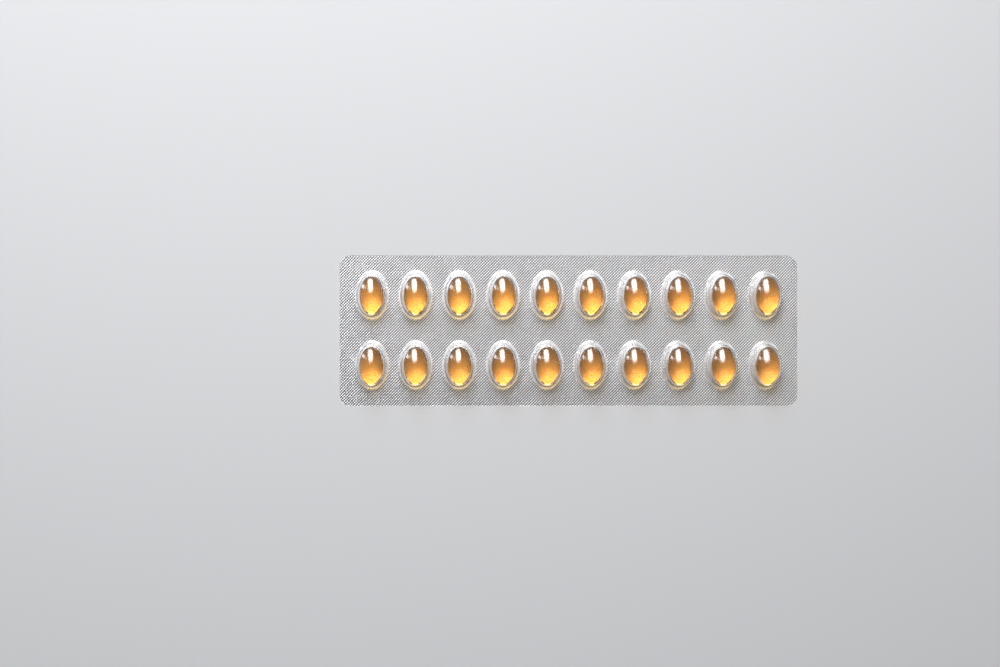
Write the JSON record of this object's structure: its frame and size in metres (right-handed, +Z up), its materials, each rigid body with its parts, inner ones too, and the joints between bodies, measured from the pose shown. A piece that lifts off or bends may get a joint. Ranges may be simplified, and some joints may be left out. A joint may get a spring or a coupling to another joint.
{
  "type": "pill blister pack",
  "caption": "Flat push-through blister card: clear film with raised oval pockets in two rows, knurl-sealed foil underneath, and an amber oval softgel in each pocket.",
  "frame": {"origin": "middle of the foil's underside, the face that the card lies on", "axes": "+X along the card's length and the rows of pockets, +Y across it from row b to row a, +Z up out of the pockets"},
  "size_m": [0.131, 0.043, 0.0075],
  "materials": {
    "clear_film": "clear glossy thermoformed film",
    "foil": "bright foil with a fine knurled seal",
    "softgel": "glossy translucent amber gelatin"
  },
  "bodies": {
    "root": {"blister_film": "clear_film", "lidding_foil": "foil", "softgel_a01": "softgel", "softgel_a02": "softgel", "softgel_a03": "softgel", "softgel_a04": "softgel", "softgel_a05": "softgel", "softgel_a06": "softgel", "softgel_a07": "softgel", "softgel_a08": "softgel", "softgel_a09": "softgel", "softgel_a10": "softgel", "softgel_b01": "softgel", "softgel_b02": "softgel", "softgel_b03": "softgel", "softgel_b04": "softgel", "softgel_b05": "softgel", "softgel_b06": "softgel", "softgel_b07": "softgel", "softgel_b08": "softgel", "softgel_b09": "softgel", "softgel_b10": "softgel"}
  },
  "joints": []
}
